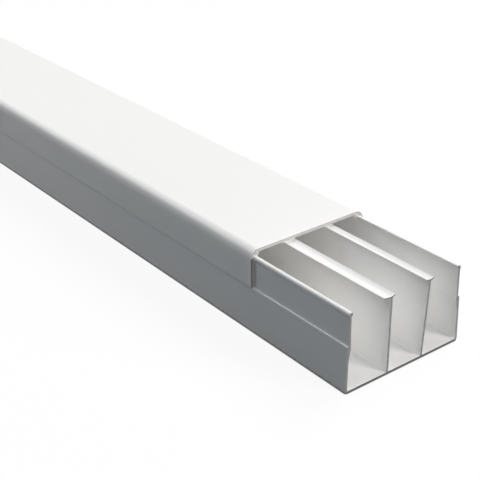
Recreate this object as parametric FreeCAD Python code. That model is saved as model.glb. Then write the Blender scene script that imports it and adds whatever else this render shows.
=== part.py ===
import FreeCAD, Part
import math
import os

# Cable trunking with three compartments and a clip-on cover.
# +X runs along the stock, +Y across it and +Z up from its back.
# The origin is the middle of the base's flat underside.

# Driving dimensions, in millimetres.
STOCK_LENGTH = 2000.0
SECTION_WIDTH = 100.0
SECTION_HEIGHT = 62.0
COVER_SETBACK = 94.0         # how far the cover's near end stands back from the base's
WALL = 1.6                   # floor, side walls and partitions
SKIRT = 1.3                  # side of the cover
COVER_PLATE = 2.2            # top of the cover
SLIDE_GAP = 0.25             # clearance between cover and base

# Base: side walls.
LEDGE_HEIGHT = 34.2          # top of the shelf under the cover's skirt
RIM_DROP = 2.1               # from the underside of the cover's top down to the wall's rim
BEAD_PROUD = 0.5             # how far the bead stands out of the upper wall
BEAD_HEIGHT = 3.5            # from the foot of its sloping underside to the rim
BEAD_SLOPE = 1.4             # height of that underside
BEAD_RADIUS = 1.8            # rounded top corner of the bead
LIP_REACH = 0.95             # how far the rim thickens inward
LIP_HEIGHT = 2.9
LIP_FACE = 1.9               # upright part of the lip
WALL_LEAN = 0.7              # how far the lower wall leans inward up to the shelf
HAUNCH_HEIGHT = 10.0         # thickening inside the wall, below the shelf
HAUNCH_RADIUS = 4.0
BACK_CORNER_RADIUS = 2.0
SHELF_EDGE_RADIUS = 0.25
SHELF_FILLET_RADIUS = 0.6    # where the shelf meets the upper wall
FOOT_RADIUS = 0.7            # fillet where a wall or partition meets the floor
EDGE_RADIUS = 0.3

# Base: partitions. Each stands on the floor at its foot and leans a little.
FIRST_FOOT = -14.1
FIRST_TOP = -13.0
SECOND_FOOT = 16.3
SECOND_TOP = 20.5
CAP_GAP = 2.3                # from the tips of a cap up to the underside of the cover
CAP_THICKNESS = 0.9
CAP_RISE = 0.9               # how far the tips stand above the middle of a cap
CAP_DISH_RADIUS = 8.0
FIRST_CAP_LEFT = 6.4         # reach of each wing from the top of the partition
FIRST_CAP_RIGHT = 3.1
SECOND_CAP_LEFT = 3.0
SECOND_CAP_RIGHT = 3.4

# Cover.
COVER_CORNER_RADIUS = 7.0
SNAP_HEIGHT = 3.0            # bead inside each skirt, from its foot to its ridge
RIDGE_FLAT = 0.5             # upright part of that ridge
LEG_THICKNESS = 1.1          # legs that steady the rims from inside
LEG_DROP = 3.5               # below the underside of the cover's top
LEG_SLANT = 1.4              # how far a leg leans outward on its way down

# Worked-out levels and distances.
half_width = SECTION_WIDTH / 2
plate_underside = SECTION_HEIGHT - COVER_PLATE
skirt_inner = half_width - SKIRT
skirt_bottom = LEDGE_HEIGHT + SLIDE_GAP
lower_inner = half_width - WALL
bead_outer = skirt_inner - SLIDE_GAP
upper_outer = bead_outer - BEAD_PROUD
upper_inner = upper_outer - WALL
lip_tip = upper_inner - LIP_REACH
rim = plate_underside - RIM_DROP
bead_foot = rim - BEAD_HEIGHT
shelf_edge = half_width - WALL_LEAN
haunch_foot = LEDGE_HEIGHT - WALL - HAUNCH_HEIGHT
haunch_foot_inner = lower_inner - WALL_LEAN * haunch_foot / LEDGE_HEIGHT
inner_corner_radius = RIM_DROP + BEAD_RADIUS  # the curve starts level with the bead's side
cap_tip_top = plate_underside - CAP_GAP
cap_middle_top = cap_tip_top - CAP_RISE
cap_middle_bottom = cap_middle_top - CAP_THICKNESS


def point(y, z):
    return FreeCAD.Vector(0, y, z)


def rounded_outline(corners):
    """Closed face in the Y-Z plane; each corner is (y, z, radius)."""
    arrivals = []
    departures = []
    middles = []
    for index, (y, z, radius) in enumerate(corners):
        here = point(y, z)
        before = point(*corners[index - 1][:2]) - here
        after = point(*corners[(index + 1) % len(corners)][:2]) - here
        before.normalize()
        after.normalize()
        half_angle = before.getAngle(after) / 2
        inset = radius / math.tan(half_angle)
        inward = before + after
        inward.normalize()
        arrivals.append(here + before * inset)
        departures.append(here + after * inset)
        middles.append(here + inward * (radius / math.sin(half_angle) - radius))
    edges = []
    for index, (y, z, radius) in enumerate(corners):
        if radius > 0:
            arc = Part.Arc(arrivals[index], middles[index], departures[index])
            edges.append(arc.toShape())
        next_arrival = arrivals[(index + 1) % len(corners)]
        edges.append(Part.LineSegment(departures[index], next_arrival).toShape())
    return Part.Face(Part.Wire(edges))


def mirrored(corners):
    """The same corners on the other side of the middle, in reverse order."""
    return [(-y, z, radius) for y, z, radius in reversed(corners)]


def right_wall():
    """Corners of the right wall, up its outside and down its inside."""
    return [
        (half_width, 0, BACK_CORNER_RADIUS),
        (shelf_edge, LEDGE_HEIGHT, SHELF_EDGE_RADIUS),
        (upper_outer, LEDGE_HEIGHT, SHELF_FILLET_RADIUS),
        (upper_outer, bead_foot, EDGE_RADIUS),
        (bead_outer, bead_foot + BEAD_SLOPE, EDGE_RADIUS),
        (bead_outer, rim, BEAD_RADIUS),
        (lip_tip, rim, EDGE_RADIUS),
        (lip_tip, rim - LIP_FACE, EDGE_RADIUS),
        (upper_inner, rim - LIP_HEIGHT, EDGE_RADIUS),
        (upper_inner, haunch_foot + HAUNCH_HEIGHT, HAUNCH_RADIUS),
        (haunch_foot_inner, haunch_foot, HAUNCH_RADIUS),
        (lower_inner, WALL, FOOT_RADIUS),
    ]


def partition(foot, top, reach_left, reach_right):
    """Corners of a partition and its shallow dished cap, from right to left."""
    stem = WALL / 2
    tip_bottom = cap_tip_top - CAP_THICKNESS
    return [
        (foot + stem, WALL, FOOT_RADIUS),
        (top + stem, cap_middle_bottom, FOOT_RADIUS),
        (top + reach_right, tip_bottom, EDGE_RADIUS),
        (top + reach_right, cap_tip_top, EDGE_RADIUS),
        (top, cap_middle_top, CAP_DISH_RADIUS),
        (top - reach_left, cap_tip_top, EDGE_RADIUS),
        (top - reach_left, tip_bottom, EDGE_RADIUS),
        (top - stem, cap_middle_bottom, FOOT_RADIUS),
        (foot - stem, WALL, FOOT_RADIUS),
    ]


def channel_base():
    """Floor, two stepped walls and two partitions, extruded in one piece."""
    corners = right_wall()
    corners += partition(SECOND_FOOT, SECOND_TOP, SECOND_CAP_LEFT, SECOND_CAP_RIGHT)
    corners += partition(FIRST_FOOT, FIRST_TOP, FIRST_CAP_LEFT, FIRST_CAP_RIGHT)
    corners += mirrored(right_wall())
    base = rounded_outline(corners).extrude(FreeCAD.Vector(STOCK_LENGTH, 0, 0))
    base.translate(FreeCAD.Vector(-STOCK_LENGTH / 2, 0, 0))
    return base


def cover_half():
    """Corners of the cover's right half, from its outer corner to a leg's root."""
    ridge = upper_outer + SLIDE_GAP
    ridge_top = bead_foot - SLIDE_GAP
    leg_outer = lip_tip - SLIDE_GAP
    leg_inner = leg_outer - LEG_THICKNESS
    leg_bottom = plate_underside - LEG_DROP
    return [
        (half_width, SECTION_HEIGHT, COVER_CORNER_RADIUS),
        (half_width, skirt_bottom, EDGE_RADIUS),
        (skirt_inner, skirt_bottom, EDGE_RADIUS),
        (skirt_inner, ridge_top - SNAP_HEIGHT, EDGE_RADIUS),
        (ridge, ridge_top - RIDGE_FLAT, EDGE_RADIUS / 2),
        (ridge, ridge_top, EDGE_RADIUS / 2),
        (skirt_inner, ridge_top + BEAD_SLOPE, EDGE_RADIUS / 2),
        (skirt_inner, plate_underside, inner_corner_radius),
        (leg_outer - LEG_SLANT, plate_underside, EDGE_RADIUS),
        (leg_outer, leg_bottom, EDGE_RADIUS),
        (leg_inner, leg_bottom, EDGE_RADIUS),
        (leg_inner - LEG_SLANT, plate_underside, EDGE_RADIUS),
    ]


def clip_cover():
    """Flat top, two skirts and two inner legs, extruded in one piece."""
    corners = cover_half() + mirrored(cover_half())
    cover = rounded_outline(corners).extrude(FreeCAD.Vector(STOCK_LENGTH, 0, 0))
    cover.translate(FreeCAD.Vector(-STOCK_LENGTH / 2 - COVER_SETBACK, 0, 0))
    return cover


os.makedirs("parts", exist_ok=True)
channel_base().exportStep("parts/channel_base.step")
clip_cover().exportStep("parts/clip_cover.step")
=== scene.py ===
import math

import bpy
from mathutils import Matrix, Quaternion, Vector


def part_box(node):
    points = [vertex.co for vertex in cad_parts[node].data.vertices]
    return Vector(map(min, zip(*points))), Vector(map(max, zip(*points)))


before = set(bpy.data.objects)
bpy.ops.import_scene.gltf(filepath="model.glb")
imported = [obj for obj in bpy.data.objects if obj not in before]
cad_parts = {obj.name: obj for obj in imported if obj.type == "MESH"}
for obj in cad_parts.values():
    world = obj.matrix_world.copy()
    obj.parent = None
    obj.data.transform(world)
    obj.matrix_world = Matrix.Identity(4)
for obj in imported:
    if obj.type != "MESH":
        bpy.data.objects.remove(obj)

# White PVC cable trunking on a plain white floor, under four large soft lamps.
# Lengths are in metres, in the part's own frame, unless a name ends in _MM.

# Camera: low beside the open end, tilted by a hair.
CAMERA_BEYOND_END = 0.415
CAMERA_SIDE = -0.438
CAMERA_HEIGHT = 0.401
CAMERA_AZIMUTH = math.radians(53.28)
CAMERA_ELEVATION = math.radians(27.3)
CAMERA_ROLL = math.radians(1.33)
CAMERA_LENS_MM = 82.95
CAMERA_CLIP_START = 0.01
CAMERA_CLIP_END = 50.0
SENSOR_WIDTH_MM = 36.0

# Lamps, 12 m from the open end: offset from it, size, power and colour. One hangs beyond the
# far side, one stands low in front of the open end, and one hangs above the near side. The
# fourth stands behind, where the rounded edges reflect it.
WARM_LIGHT = (1.0, 0.985, 0.965)
COOL_LIGHT = (0.94, 0.975, 1.0)
LAMPS = {
    "far": (Vector((-1.36, 7.00, 9.64)), (6.0, 6.0), 820.0, WARM_LIGHT),
    "front": (Vector((10.50, 4.79, 3.31)), (6.0, 6.0), 1840.0, WARM_LIGHT),
    "near": (Vector((0.98, -4.10, 11.24)), (6.0, 6.0), 214.0, COOL_LIGHT),
    "back": (Vector((-8.54, -3.90, 7.48)), (8.8, 2.8), 288.0, COOL_LIGHT),
}
SKY_COLOUR = (0.80, 0.92, 1.0)
SKY_STRENGTH = 0.03
PURE_WHITE = (1.0, 1.0, 1.0)

# Floor.
FLOOR_SIZE = 16.0
FLOOR_DROP = 0.0002          # below the base, so that the two surfaces don't coincide
FLOOR_WHITE = (0.95, 0.95, 0.95)
FLOOR_SHADOW_SHARE = 0.09
FLOOR_BOUNCE = (0.05, 0.07, 0.09)

# Contact shadow: a thin dark line where the object stands on the floor.
CONTACT_REACH = 0.0016
CONTACT_LEVEL = 0.12
CONTACT_HIDDEN = 0.5         # share of open sky at which the line is darkest
CONTACT_OPEN = 0.75          # and at which it ends
CONTACT_SAMPLES = 16

# Plastic.
BASE_WHITE = (0.9, 0.896, 0.887)
COVER_WHITE = (0.975, 0.97, 0.96)
GLOSS_ROUGHNESS = 0.36
PVC_IOR = 1.53
COVER_GLOW = 0.09            # share of the light that passes through the cover
GLOW_COLOUR = (1.0, 0.99, 0.975)

# Noise patterns on the plastic: scales along X, Y and Z, and detail.
BROAD_BANDS = ((0.7, 60.0, 60.0), 2.0)
DIE_LINES = ((1.2, 900.0, 900.0), 3.0)
CLOUDS = ((9.0, 22.0, 22.0), 4.0)
SCUFFS = ((38.0, 420.0, 420.0), 5.0)
SAW_GRIT = ((900.0, 900.0, 900.0), 4.0)
NOISE_ROUGHNESS = 0.55

# What the patterns do. A range of noise is spread over a range of shade or roughness.
BROAD_BAND_WEIGHT = 0.6      # the die lines have the rest
BAND_NOISE = (0.3, 0.7)
BAND_SHADE = 0.975
CLOUD_NOISE = (0.35, 0.75)
CLOUD_SHARE = 0.05
CLOUD_SHADE = 0.86
SCUFF_NOISE = (0.35, 0.7)
SCUFF_ROUGHNESS = (-0.05, 0.07)
CLOUD_GLOSS_NOISE = (0.3, 0.7)
CLOUD_ROUGHNESS = (-0.03, 0.03)
DIE_LINE_RELIEF = 0.000012

# Cut ends. Their colour is painted darker than the white, as shade; the saw marks on them are
# texture.
CUT_FACING = 0.6             # a face is a cut end where its normal's X is more than this
# Painted shade: the cut ends' colour, as a share of the white.
BASE_CUT_PAINTED_SHADE = 0.18
COVER_CUT_PAINTED_SHADE = 0.385
CUT_ROUGHNESS = 0.72
SAW_SCALE = 260.0
SAW_DISTORTION = 3.0
SAW_DETAIL = 3.0
SAW_TILT = math.radians(24.0)
SAW_WEIGHT = 0.5             # the grit has the rest
SAW_SHADE = 0.86
SAW_RELIEF = 0.00006

# A darker line along one edge of each cut end: along the base's underside it is a painted
# contact shadow; along the cover's top it is a darker line, and over the skirts' ends it widens
# into painted shade.
BASE_PAINTED_SHADOW_HEIGHT = 0.0012
BASE_EDGE_PAINTED_SHADOW = 0.35
COVER_TOP_LINE = 0.0004
COVER_SKIRT_PAINTED_SHADE_WIDTH = 0.0014
COVER_EDGE_LINE_AND_PAINTED_SHADE = 0.46
COVER_CORNER_RADIUS = 0.007

# Sockets of the Mix node that hold its share, its two colours and the result.
MIX_SHARE_INPUT = 0
MIX_COLOUR_INPUTS = (6, 7)
MIX_COLOUR_OUTPUT = 2


def feed(tree, value, socket):
    """Give a socket a number, a colour or the output of another node."""
    if isinstance(value, float):
        socket.default_value = value
    elif isinstance(value, tuple):
        socket.default_value = (*value, 1.0)
    else:
        tree.links.new(value, socket)


def add_node(tree, kind, **inputs):
    """A node with some of its inputs set by name."""
    node = tree.nodes.new(kind)
    for name, value in inputs.items():
        node.inputs[name].default_value = value
    return node


def new_tree(datablock):
    datablock.use_nodes = True
    datablock.node_tree.nodes.clear()
    return datablock.node_tree


def maths(tree, operation, *values):
    node = tree.nodes.new("ShaderNodeMath")
    node.operation = operation
    for value, socket in zip(values, node.inputs):
        feed(tree, value, socket)
    return node.outputs[0]


def weighted(tree, first, weight, second):
    """A sum of two values, in which the second has the weight that the first leaves."""
    return maths(
        tree,
        "ADD",
        maths(tree, "MULTIPLY", first, weight),
        maths(tree, "MULTIPLY", second, 1.0 - weight),
    )


def remap(tree, value, source, target):
    """Spread the source range over the target range."""
    node = tree.nodes.new("ShaderNodeMapRange")
    for name, bound in zip(("From Min", "From Max", "To Min", "To Max"), source + target):
        node.inputs[name].default_value = bound
    feed(tree, value, node.inputs["Value"])
    return node.outputs["Result"]


def stretched_noise(tree, place, pattern):
    """Noise on the object's own coordinates."""
    scales, detail = pattern
    mapping = add_node(tree, "ShaderNodeMapping", Scale=scales)
    feed(tree, place, mapping.inputs["Vector"])
    noise = add_node(
        tree, "ShaderNodeTexNoise", Scale=1.0, Detail=detail, Roughness=NOISE_ROUGHNESS
    )
    feed(tree, mapping.outputs["Vector"], noise.inputs["Vector"])
    return noise.outputs["Fac"]


def mixed_colour(tree, share, first, second):
    """The first colour, with a share of the second."""
    node = tree.nodes.new("ShaderNodeMix")
    node.data_type = "RGBA"
    feed(tree, share, node.inputs[MIX_SHARE_INPUT])
    for colour, index in zip((first, second), MIX_COLOUR_INPUTS):
        feed(tree, colour, node.inputs[index])
    return node.outputs[MIX_COLOUR_OUTPUT]


def mixed_shader(tree, share, first, second):
    """The first shader, with a share of the second."""
    node = tree.nodes.new("ShaderNodeMixShader")
    feed(tree, share, node.inputs["Fac"])
    feed(tree, first.outputs[0], node.inputs[1])
    feed(tree, second.outputs[0], node.inputs[2])
    return node


def end_tree(tree, kind, surface):
    output = tree.nodes.new(kind)
    feed(tree, surface.outputs[0], output.inputs["Surface"])


def scaled(colour, factor):
    return tuple(channel * factor for channel in colour)


def base_shadow_line_mask(tree, place):
    """1 along the underside, where the cut ends get a painted contact shadow, and 0 elsewhere.
    """
    axes = tree.nodes.new("ShaderNodeSeparateXYZ")
    feed(tree, place, axes.inputs["Vector"])
    return maths(tree, "LESS_THAN", axes.outputs["Z"], BASE_PAINTED_SHADOW_HEIGHT)


def cover_edge(tree, place):
    """1 along the cover's outer surface, round its corners too, and 0 elsewhere: a thin line
    along the top, wider over the skirts, where it marks painted shade on their ends.
    """
    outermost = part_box("clip_cover")[1]
    axes = tree.nodes.new("ShaderNodeSeparateXYZ")
    feed(tree, place, axes.inputs["Vector"])
    across = maths(tree, "ABSOLUTE", axes.outputs["Y"])
    beside_start = outermost.y - COVER_CORNER_RADIUS + COVER_TOP_LINE - COVER_SKIRT_PAINTED_SHADE_WIDTH
    beside = maths(tree, "SUBTRACT", across, beside_start)
    above = maths(tree, "SUBTRACT", axes.outputs["Z"], outermost.z - COVER_CORNER_RADIUS)
    offset = tree.nodes.new("ShaderNodeCombineXYZ")
    feed(tree, maths(tree, "MAXIMUM", beside, 0.0), offset.inputs["X"])
    feed(tree, maths(tree, "MAXIMUM", above, 0.0), offset.inputs["Y"])
    reach = tree.nodes.new("ShaderNodeVectorMath")
    reach.operation = "LENGTH"
    feed(tree, offset.outputs["Vector"], reach.inputs[0])
    inner_radius = COVER_CORNER_RADIUS - COVER_TOP_LINE
    return maths(tree, "GREATER_THAN", reach.outputs["Value"], inner_radius)


def is_cut_end(tree, coordinates):
    """1 where the surface faces along the stock, 0 elsewhere."""
    facing = tree.nodes.new("ShaderNodeSeparateXYZ")
    feed(tree, coordinates.outputs["Normal"], facing.inputs["Vector"])
    along = maths(tree, "ABSOLUTE", facing.outputs["X"])
    return maths(tree, "GREATER_THAN", along, CUT_FACING)


def skin_colour(tree, place, white, die_lines, clouds):
    broad_bands = stretched_noise(tree, place, BROAD_BANDS)
    banding = weighted(tree, broad_bands, BROAD_BAND_WEIGHT, die_lines)
    shade = remap(tree, banding, BAND_NOISE, (0.0, 1.0))
    banded = mixed_colour(tree, shade, scaled(white, BAND_SHADE), white)
    cloud_share = remap(tree, clouds, CLOUD_NOISE, (0.0, CLOUD_SHARE))
    return mixed_colour(tree, cloud_share, banded, scaled(white, CLOUD_SHADE))


def saw_marks(tree, place):
    saw = add_node(
        tree, "ShaderNodeTexWave", Scale=SAW_SCALE, Distortion=SAW_DISTORTION, Detail=SAW_DETAIL
    )
    saw.bands_direction = "Z"
    tilt = add_node(tree, "ShaderNodeMapping", Rotation=(SAW_TILT, 0.0, 0.0))
    feed(tree, place, tilt.inputs["Vector"])
    feed(tree, tilt.outputs["Vector"], saw.inputs["Vector"])
    grit = stretched_noise(tree, place, SAW_GRIT)
    return weighted(tree, saw.outputs["Fac"], SAW_WEIGHT, grit)


def cut_colour(tree, marks, edge, white, cut_painted_shade, edge_shade):
    # The cut end is the white darkened to a share of it, as painted shade; the saw marks darken
    # it a little more.
    darkest = scaled(white, cut_painted_shade * SAW_SHADE)
    marked = mixed_colour(tree, marks, darkest, scaled(white, cut_painted_shade))
    # Along the edge mask it is darker still: painted contact shadow on the base, painted shade
    # on the cover's skirt ends.
    return mixed_colour(tree, edge, marked, scaled(white, cut_painted_shade * edge_shade))


def surface_roughness(tree, place, clouds, cut_end):
    scuffs = stretched_noise(tree, place, SCUFFS)
    scuffed = remap(tree, scuffs, SCUFF_NOISE, SCUFF_ROUGHNESS)
    clouded = remap(tree, clouds, CLOUD_GLOSS_NOISE, CLOUD_ROUGHNESS)
    skin = maths(tree, "ADD", maths(tree, "ADD", scuffed, GLOSS_ROUGHNESS), clouded)
    return maths(tree, "MAXIMUM", skin, maths(tree, "MULTIPLY", cut_end, CUT_ROUGHNESS))


def surface_relief(tree, die_lines, marks, cut_end):
    lines = maths(tree, "MULTIPLY", die_lines, DIE_LINE_RELIEF)
    sawn = maths(tree, "MULTIPLY", maths(tree, "MULTIPLY", marks, cut_end), SAW_RELIEF)
    bump = add_node(tree, "ShaderNodeBump", Strength=1.0, Distance=1.0)
    feed(tree, maths(tree, "ADD", lines, sawn), bump.inputs["Height"])
    return bump.outputs["Normal"]


def extruded_pvc(name, white, cut_painted_shade, edge, edge_shade, glow_share):
    """Semi-gloss white PVC: die lines along the stock, and saw marks on its cut ends, which are
    painted darker as shade.
    """
    material = bpy.data.materials.new(name)
    tree = new_tree(material)
    coordinates = tree.nodes.new("ShaderNodeTexCoord")
    place = coordinates.outputs["Object"]
    cut_end = is_cut_end(tree, coordinates)
    die_lines = stretched_noise(tree, place, DIE_LINES)
    clouds = stretched_noise(tree, place, CLOUDS)
    marks = saw_marks(tree, place)
    skin = skin_colour(tree, place, white, die_lines, clouds)
    cut = cut_colour(tree, marks, edge(tree, place), white, cut_painted_shade, edge_shade)

    plastic = add_node(tree, "ShaderNodeBsdfPrincipled", IOR=PVC_IOR)
    feed(tree, mixed_colour(tree, cut_end, skin, cut), plastic.inputs["Base Color"])
    feed(tree, surface_roughness(tree, place, clouds, cut_end), plastic.inputs["Roughness"])
    feed(tree, surface_relief(tree, die_lines, marks, cut_end), plastic.inputs["Normal"])
    surface = plastic
    if glow_share:
        glow = add_node(tree, "ShaderNodeBsdfTranslucent", Color=(*GLOW_COLOUR, 1.0))
        inside = tree.nodes.new("ShaderNodeNewGeometry").outputs["Backfacing"]
        passing = maths(tree, "MAXIMUM", inside, glow_share)
        surface = mixed_shader(tree, passing, plastic, glow)
    end_tree(tree, "ShaderNodeOutputMaterial", surface)
    return material


def seen_directly(tree):
    """1 for camera, glossy and transmission rays, 0 for the rest."""
    path = tree.nodes.new("ShaderNodeLightPath")
    seen = maths(tree, "MAXIMUM", path.outputs["Is Camera Ray"], path.outputs["Is Glossy Ray"])
    return maths(tree, "MAXIMUM", seen, path.outputs["Is Transmission Ray"])


def white_floor():
    """White where it is seen, with the object's shadow on it, and a grey bounce."""
    material = bpy.data.materials.new("white_floor")
    tree = new_tree(material)
    openness = add_node(tree, "ShaderNodeAmbientOcclusion", Distance=CONTACT_REACH)
    openness.samples = CONTACT_SAMPLES
    level = remap(
        tree, openness.outputs["AO"], (CONTACT_HIDDEN, CONTACT_OPEN), (CONTACT_LEVEL, 1.0)
    )
    white = add_node(tree, "ShaderNodeEmission", Color=(*PURE_WHITE, 1.0))
    feed(tree, level, white.inputs["Strength"])
    lit = add_node(tree, "ShaderNodeBsdfDiffuse", Color=(*FLOOR_WHITE, 1.0))
    shown = mixed_shader(tree, FLOOR_SHADOW_SHARE, white, lit)
    bounce = add_node(tree, "ShaderNodeBsdfDiffuse", Color=(*FLOOR_BOUNCE, 1.0))
    surface = mixed_shader(tree, seen_directly(tree), bounce, shown)
    end_tree(tree, "ShaderNodeOutputMaterial", surface)
    return material


def add_floor(z):
    half = FLOOR_SIZE / 2
    mesh = bpy.data.meshes.new("floor")
    corners = [(-half, -half, z), (half, -half, z), (half, half, z), (-half, half, z)]
    mesh.from_pydata(corners, [], [(0, 1, 2, 3)])
    mesh.materials.append(white_floor())
    floor = bpy.data.objects.new("floor", mesh)
    bpy.context.scene.collection.objects.link(floor)


def add_sky():
    """White where it is seen, and a dim cool fill for everything else."""
    world = bpy.data.worlds.new("studio")
    bpy.context.scene.world = world
    tree = new_tree(world)
    white = add_node(tree, "ShaderNodeBackground", Color=(*PURE_WHITE, 1.0), Strength=1.0)
    fill = add_node(
        tree, "ShaderNodeBackground", Color=(*SKY_COLOUR, 1.0), Strength=SKY_STRENGTH
    )
    surface = mixed_shader(tree, seen_directly(tree), fill, white)
    end_tree(tree, "ShaderNodeOutputWorld", surface)


def add_area_light(name, place, aim, size, power, colour):
    lamp = bpy.data.lights.new(name, "AREA")
    lamp.shape = "RECTANGLE"
    lamp.size, lamp.size_y = size
    lamp.energy = power
    lamp.color = colour
    light = bpy.data.objects.new(name, lamp)
    light.location = place
    light.rotation_euler = (aim - place).to_track_quat("-Z", "Y").to_euler()
    light.visible_camera = False
    bpy.context.scene.collection.objects.link(light)


def add_camera(end_x):
    camera_data = bpy.data.cameras.new("camera")
    camera_data.lens = CAMERA_LENS_MM
    camera_data.sensor_width = SENSOR_WIDTH_MM
    camera_data.clip_start = CAMERA_CLIP_START
    camera_data.clip_end = CAMERA_CLIP_END
    camera = bpy.data.objects.new("camera", camera_data)
    camera.location = (end_x + CAMERA_BEYOND_END, CAMERA_SIDE, CAMERA_HEIGHT)
    level = math.cos(CAMERA_ELEVATION)
    look = Vector((
        -math.sin(CAMERA_AZIMUTH) * level,
        math.cos(CAMERA_AZIMUTH) * level,
        -math.sin(CAMERA_ELEVATION),
    ))
    roll = Quaternion((0, 0, 1), -CAMERA_ROLL)
    camera.rotation_mode = "QUATERNION"
    camera.rotation_quaternion = look.to_track_quat("-Z", "Y") @ roll
    bpy.context.scene.collection.objects.link(camera)
    bpy.context.scene.camera = camera


def dress(node, material):
    node.data.materials.clear()
    node.data.materials.append(material)


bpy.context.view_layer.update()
base_pvc = extruded_pvc(
    "base_pvc", BASE_WHITE, BASE_CUT_PAINTED_SHADE, base_shadow_line_mask, BASE_EDGE_PAINTED_SHADOW, glow_share=0.0
)
cover_pvc = extruded_pvc(
    "cover_pvc", COVER_WHITE, COVER_CUT_PAINTED_SHADE, cover_edge, COVER_EDGE_LINE_AND_PAINTED_SHADE, COVER_GLOW
)
dress(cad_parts["channel_base"], base_pvc)
dress(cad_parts["clip_cover"], cover_pvc)

base_low, base_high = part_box("channel_base")
add_floor(base_low.z - FLOOR_DROP)
add_sky()
open_end = Vector((base_high.x, 0.0, base_high.z / 2))
for name, (offset, size, power, colour) in LAMPS.items():
    add_area_light(name, open_end + offset, open_end, size, power, colour)
add_camera(base_high.x)
bpy.context.scene.view_settings.view_transform = "Standard"
